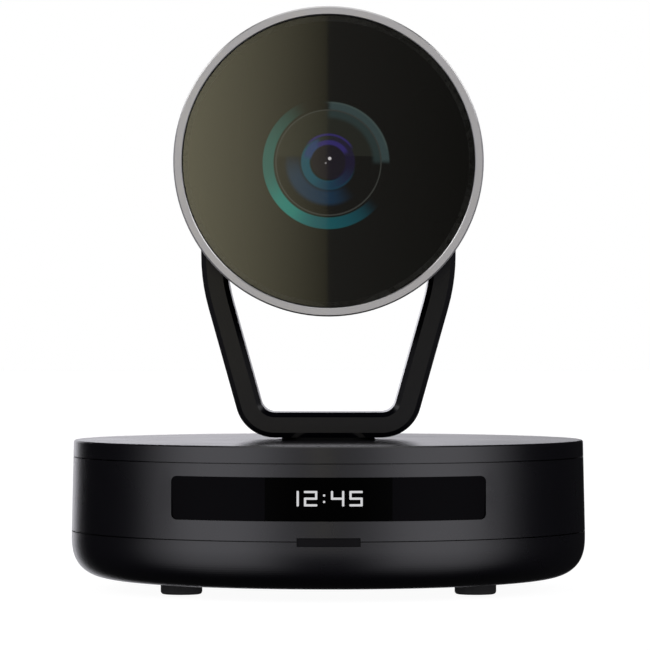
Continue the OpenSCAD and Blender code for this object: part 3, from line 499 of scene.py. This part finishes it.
bars = []
left = CLOCK_LEFT
for mark in "12:45":
    if mark == ":":
        for z in (-COLON_RISE, COLON_RISE):
            bars.append(bar(left + COLON_W / 2, DIGIT_Z + z, STROKE, STROKE))
        left += COLON_W + GAP
        continue
    if mark == "1":
        left -= ONE_SHIFT
    for key in DIGITS[mark]:
        fx, fz, way = SEGMENTS[key]
        across = way == "across"
        w = DIGIT_W if across else STROKE
        h = STROKE if across else (DIGIT_H + STROKE) / 2
        x = left + STROKE / 2 + fx * (DIGIT_W - STROKE)
        z = DIGIT_Z + (fz - 0.5) * (DIGIT_H - STROKE)
        bars.append(bar(x, z, w, h))
    left += DIGIT_W + GAP
digits = join(bars, "clock_digits")
lit = Finish("display_light", (0.02, 0.02, 0.02), Roughness=0.4, Emission_Strength=1.0)
glow = lit.mix(lit.noise(2000, 2) * 0.25, (0.62, 0.62, 0.63), (0.5, 0.5, 0.52))
lit.drive("Emission Color", glow)
digits.data.materials.append(lit.mat)
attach(digits, "base")
print("digits", len(digits.data.polygons), "faces")

# %% [markdown]
# The camera
#
# A long lens, far away and almost level with the object, keeps the upright lines
# parallel.

# %% Camera
cam_data = bpy.data.cameras.new("camera")
cam = bpy.data.objects.new("camera", cam_data)
bpy.context.scene.collection.objects.link(cam)
cam.location = (-0.001, -1.275, 0.0776)
cam.rotation_euler = (math.radians(90), 0, 0)
cam_data.lens = 238.98
cam_data.sensor_width = 36
cam_data.clip_end = 50
bpy.context.scene.camera = cam
print("camera", [round(v, 3) for v in cam.location], "lens", round(cam_data.lens, 1), "mm")

# %% [markdown]
# The floor
#
# The floor is pale and even. It glows a little, so that it stays white up to the horizon,
# and reflections don't see it.

# %% Floor
bpy.ops.mesh.primitive_plane_add(size=12, location=(0, 0, 0))
floor = bpy.context.object
floor.name = "floor"
floor_white = Finish("floor_white", (0.12, 0.12, 0.12), Roughness=0.8,
                     Emission_Color=(1, 1, 1, 1), Emission_Strength=0.95)
floor.data.materials.append(floor_white.mat)
floor.visible_glossy = False
floor.visible_diffuse = False
print("floor", tuple(round(v, 1) for v in floor.dimensions))

# %% [markdown]
# The room
#
# The room's light depends on its direction. It is white where the camera looks. In
# reflections it is bright to the left and right of the camera, dark at the sides and
# bright again behind, so the round black base shows soft bands instead of a grey haze.

# %% Room
world = bpy.data.worlds.new("room")
bpy.context.scene.world = world
world.use_nodes = True
tree = world.node_tree
straight = Num(tree, tree.nodes.new("ShaderNodeLightPath").outputs["Is Camera Ray"])
split = tree.nodes.new("ShaderNodeSeparateXYZ")
tree.links.new(tree.nodes.new("ShaderNodeTexCoord").outputs["Generated"], split.inputs[0])
east, north, up = (Num(tree, split.outputs[i]) for i in range(3))
turn = east.math("ABSOLUTE").math("ARCTAN2", north * -1) * (180 / math.pi)
level = up.step(-0.2, -0.04) * 0.4 + up.step(-0.5, -0.1) * 0.16 + 0.08
bands = turn.step(10, 40) * 1.15 + level
sides_dark = turn.step(56, 100) * -1 + 1
low = up.step(-0.98, -0.35)
high = up.step(0.45, 0.9) * -1 + 1
front = bands * sides_dark * low * high
away = north * 0.985 - east * 0.165
back = away.step(0.93, 0.995) * 1.45
overhead = up.step(0.75, 0.98) * 0.1
room = front + back + overhead + 0.012
feed(tree, straight + (straight * -1 + 1) * room, tree.nodes["Background"].inputs["Strength"])
tint = tree.nodes.new("ShaderNodeMix")
tint.data_type = "RGBA"
feed(tree, straight, tint.inputs[0])
tint.inputs[6].default_value = (1, 0.99, 1.055, 1)
tint.inputs[7].default_value = (1, 1, 1, 1)
tree.links.new(tint.outputs[2], tree.nodes["Background"].inputs["Color"])
print("room made of", len(tree.nodes), "nodes")


# %% [markdown]
# Softboxes
#
# Two softboxes at the sides and a larger one above lift the edges and the top faces.

# %% Lights
AIM = Vector((0, 0, 0.06))


def softbox(name, place, side, power):
    data = bpy.data.lights.new(name, "AREA")
    data.shape = "RECTANGLE"
    data.size, data.size_y, data.energy = side, side, power
    lamp = bpy.data.objects.new(name, data)
    bpy.context.scene.collection.objects.link(lamp)
    lamp.location = place
    lamp.rotation_euler = (AIM - Vector(place)).to_track_quat("-Z", "Y").to_euler()
    lamp.visible_camera = False
    return lamp


softbox("left", (-1.1, -0.2, 0.9), 0.6, 3)
softbox("right", (1.1, -0.2, 0.9), 0.6, 3)
softbox("top", (0, 0.1, 1.3), 1.0, 4)
print("three softboxes")


# %% [markdown]
# What the front glass mirrors
#
# The flat glass mirrors the wall behind the camera. Two cards stand there: a lit one on
# the left, which fades to the right, and a dark one. Only reflections see them.

# %% Cards behind the camera
CARD_Y, CARD_Z, CARD_H = -1.4, 0.17, 0.24


def card(name, x0, x1, left_level, right_level, tint):
    bpy.ops.mesh.primitive_plane_add(
        size=1, location=((x0 + x1) / 2, CARD_Y, CARD_Z), rotation=(math.radians(-90), 0, 0))
    o = bpy.context.object
    o.scale = (x1 - x0, CARD_H, 1)
    o.name = name
    f = Finish(name, (0, 0, 0))
    f.tree.nodes.remove(f.shader)
    x = f.xyz()[0] + 0.5
    glow = f.tree.nodes.new("ShaderNodeEmission")
    glow.inputs["Color"].default_value = (*tint, 1)
    feed(f.tree, x * (right_level - left_level) + left_level, glow.inputs["Strength"])
    f.tree.links.new(glow.outputs[0], f.tree.nodes["Material Output"].inputs[0])
    o.data.materials.append(f.mat)
    o.visible_camera = o.visible_diffuse = o.visible_shadow = False


card("lit_card", -0.1, 0.0005, 3.5, 0.58, (1.0, 0.93, 0.63))
card("dim_card", 0.0005, 0.1, 0.3, 0.12, (1.0, 0.96, 0.85))
bpy.context.scene.view_settings.view_transform = "Standard"
print("two cards behind the camera")
